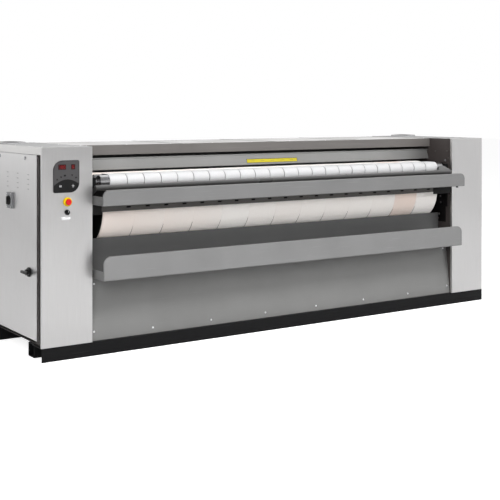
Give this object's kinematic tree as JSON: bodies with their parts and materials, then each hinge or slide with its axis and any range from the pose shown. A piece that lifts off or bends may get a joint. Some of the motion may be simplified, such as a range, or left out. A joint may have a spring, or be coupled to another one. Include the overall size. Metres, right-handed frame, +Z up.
{
  "type": "flatwork ironer",
  "caption": "Chest-type flatwork ironer: padded roll in a heated trough between two end cabinets, with feed bands, guards, linen trays, drive, doors and controls.",
  "frame": {"origin": "on the floor, in the middle of the area that the machine covers", "axes": "+X along the roll to the operator's right, +Y from the operator's side to the back, +Z up"},
  "size_m": [4.14, 1.169, 1.414],
  "materials": {
    "stainless": "fine brushed stainless sheet, satin",
    "grey_paint": "light grey powder coat, satin",
    "dark_paint": "dark grey powder coat, satin",
    "black_paint": "black powder coat, satin",
    "bright_steel": "machined bright steel",
    "cast_iron": "painted casting, matt",
    "clothing": "needled aramid-type felt, matt",
    "band": "woven white feed band, matt",
    "black_plastic": "moulded, fine texture",
    "grey_plastic": "moulded, fine texture",
    "red_plastic": "moulded, glossy",
    "yellow_plastic": "moulded, satin",
    "display": "tinted window, glossy"
  },
  "bodies": {
    "frame": {"kick_plate": "black_paint", "front_base_beam": "black_paint", "rear_base_beam": "black_paint", "front_tie_beam": "dark_paint", "rear_tie_beam": "dark_paint", "left_side_frame": "dark_paint", "left_cabinet_front": "stainless", "left_cabinet_top": "stainless", "left_cabinet_back": "stainless", "left_roll_bearing": "cast_iron", "left_feed_bracket": "black_paint", "right_side_frame": "dark_paint", "right_cabinet_front": "stainless", "right_cabinet_top": "stainless", "right_cabinet_back": "stainless", "right_roll_bearing": "cast_iron", "right_feed_bracket": "black_paint", "control_panel": "grey_plastic", "temperature_display": "display", "speed_display": "display", "emergency_stop_collar": "yellow_plastic", "gearmotor": "cast_iron", "drive_chain": "bright_steel", "feed_chain": "bright_steel", "feed_bands": "band", "chest_heater": "bright_steel", "ironing_chest": "bright_steel", "stripper_comb": "dark_paint", "chest_front_cover": "dark_paint", "upper_tray": "grey_paint", "lower_tray": "grey_paint", "perforated_rail": "dark_paint", "lower_front_panel": "grey_paint", "centre_top_cover": "grey_paint", "centre_back_panel": "grey_paint", "electrical_box": "grey_paint", "blower_housing": "grey_paint"},
    "roll": {"roll_shell": "bright_steel", "roll_clothing": "clothing", "roll_sprockets": "bright_steel"},
    "front_roller": {"front_feed_roller": "bright_steel"},
    "nose_roller": {"nose_feed_roller": "bright_steel"},
    "motor_wheel": {"motor_sprocket": "bright_steel"},
    "impeller": {"blower_impeller": "bright_steel"},
    "guard_bar": {"finger_guard_bar": "dark_paint"},
    "flap": {"guard_flap": "grey_paint"},
    "left_door": {"left_side_door": "stainless", "isolator_switch": "grey_plastic"},
    "left_handle": {"left_door_handle": "black_plastic"},
    "left_front_lock": {"left_front_door_lock": "bright_steel"},
    "left_rear_lock": {"left_rear_door_lock": "bright_steel"},
    "main_switch_handle": {"isolator_handle": "black_plastic"},
    "right_door": {"right_side_door": "stainless"},
    "right_handle": {"right_door_handle": "black_plastic"},
    "right_front_lock": {"right_front_door_lock": "bright_steel"},
    "right_rear_lock": {"right_rear_door_lock": "bright_steel"},
    "stop_button": {"emergency_stop_button": "red_plastic"},
    "selector": {"selector_knob": "black_plastic"},
    "start_button": {"start_key": "black_plastic"},
    "halt_button": {"stop_key": "black_plastic"}
  },
  "joints": [
    {"name": "roll_spin", "type": "hinge", "parent": "frame", "child": "roll", "pos_m": [0, -0.13624, 0.955], "axis": [-1, 0, 0], "continuous": true},
    {"name": "front_roller_spin", "type": "hinge", "parent": "frame", "child": "front_roller", "pos_m": [0, -0.3745, 1.1586], "axis": [-1, 0, 0], "continuous": true},
    {"name": "nose_roller_spin", "type": "hinge", "parent": "frame", "child": "nose_roller", "pos_m": [0, -0.29161, 1.1836], "axis": [-1, 0, 0], "continuous": true},
    {"name": "motor_wheel_spin", "type": "hinge", "parent": "frame", "child": "motor_wheel", "pos_m": [1.786, -0.13624, 0.33], "axis": [-1, 0, 0], "continuous": true},
    {"name": "impeller_spin", "type": "hinge", "parent": "frame", "child": "impeller", "pos_m": [-1.908, 0.4245, 1.2], "axis": [1, 0, 0], "continuous": true},
    {"name": "guard_bar_lift", "type": "hinge", "parent": "frame", "child": "guard_bar", "pos_m": [0, -0.4005, 1.085], "axis": [-1, 0, 0], "range_deg": [0, 8]},
    {"name": "flap_lift", "type": "hinge", "parent": "frame", "child": "flap", "pos_m": [0, -0.1475, 1.3], "axis": [-1, 0, 0], "range_deg": [0, 75]},
    {"name": "left_door_swing", "type": "hinge", "parent": "frame", "child": "left_door", "pos_m": [-2.017, 0.4845, 0.7355], "axis": [0, 0, -1], "range_deg": [0, 100]},
    {"name": "left_handle_turn", "type": "hinge", "parent": "left_door", "child": "left_handle", "pos_m": [-2.028, -0.2345, 0.565], "axis": [1, 0, 0], "range_deg": [0, 90]},
    {"name": "left_front_lock_turn", "type": "hinge", "parent": "left_door", "child": "left_front_lock", "pos_m": [-2.028, -0.1645, 1.32], "axis": [1, 0, 0], "range_deg": [0, 90]},
    {"name": "left_rear_lock_turn", "type": "hinge", "parent": "left_door", "child": "left_rear_lock", "pos_m": [-2.028, 0.2995, 1.32], "axis": [1, 0, 0], "range_deg": [0, 90]},
    {"name": "main_switch_turn", "type": "hinge", "parent": "left_door", "child": "main_switch_handle", "pos_m": [-2.028, 0.0895, 1.021], "axis": [-1, 0, 0], "range_deg": [0, 90]},
    {"name": "right_door_swing", "type": "hinge", "parent": "frame", "child": "right_door", "pos_m": [2.017, 0.4845, 0.7355], "axis": [0, 0, 1], "range_deg": [0, 100]},
    {"name": "right_handle_turn", "type": "hinge", "parent": "right_door", "child": "right_handle", "pos_m": [2.028, -0.2345, 0.565], "axis": [1, 0, 0], "range_deg": [0, 90]},
    {"name": "right_front_lock_turn", "type": "hinge", "parent": "right_door", "child": "right_front_lock", "pos_m": [2.028, -0.1645, 1.32], "axis": [1, 0, 0], "range_deg": [0, 90]},
    {"name": "right_rear_lock_turn", "type": "hinge", "parent": "right_door", "child": "right_rear_lock", "pos_m": [2.028, 0.2995, 1.32], "axis": [1, 0, 0], "range_deg": [0, 90]},
    {"name": "stop_button_press", "type": "slide", "parent": "frame", "child": "stop_button", "axis": [0, 1, 0], "range_m": [0, 0.005]},
    {"name": "selector_turn", "type": "hinge", "parent": "frame", "child": "selector", "pos_m": [-1.85, -0.4455, 0.969], "axis": [0, 1, 0], "range_deg": [-45, 45]},
    {"name": "start_key_press", "type": "slide", "parent": "frame", "child": "start_button", "axis": [0, 1, 0], "range_m": [0, 0.0015], "stiffness_N_per_m": 300},
    {"name": "stop_key_press", "type": "slide", "parent": "frame", "child": "halt_button", "axis": [0, 1, 0], "range_m": [0, 0.0015], "stiffness_N_per_m": 300}
  ],
  "couplings": [
    {"joint": "front_roller_spin", "follows": "roll_spin", "ratio": 5.4545},
    {"joint": "nose_roller_spin", "follows": "roll_spin", "ratio": 13.03},
    {"joint": "motor_wheel_spin", "follows": "roll_spin", "ratio": 2.9231}
  ]
}
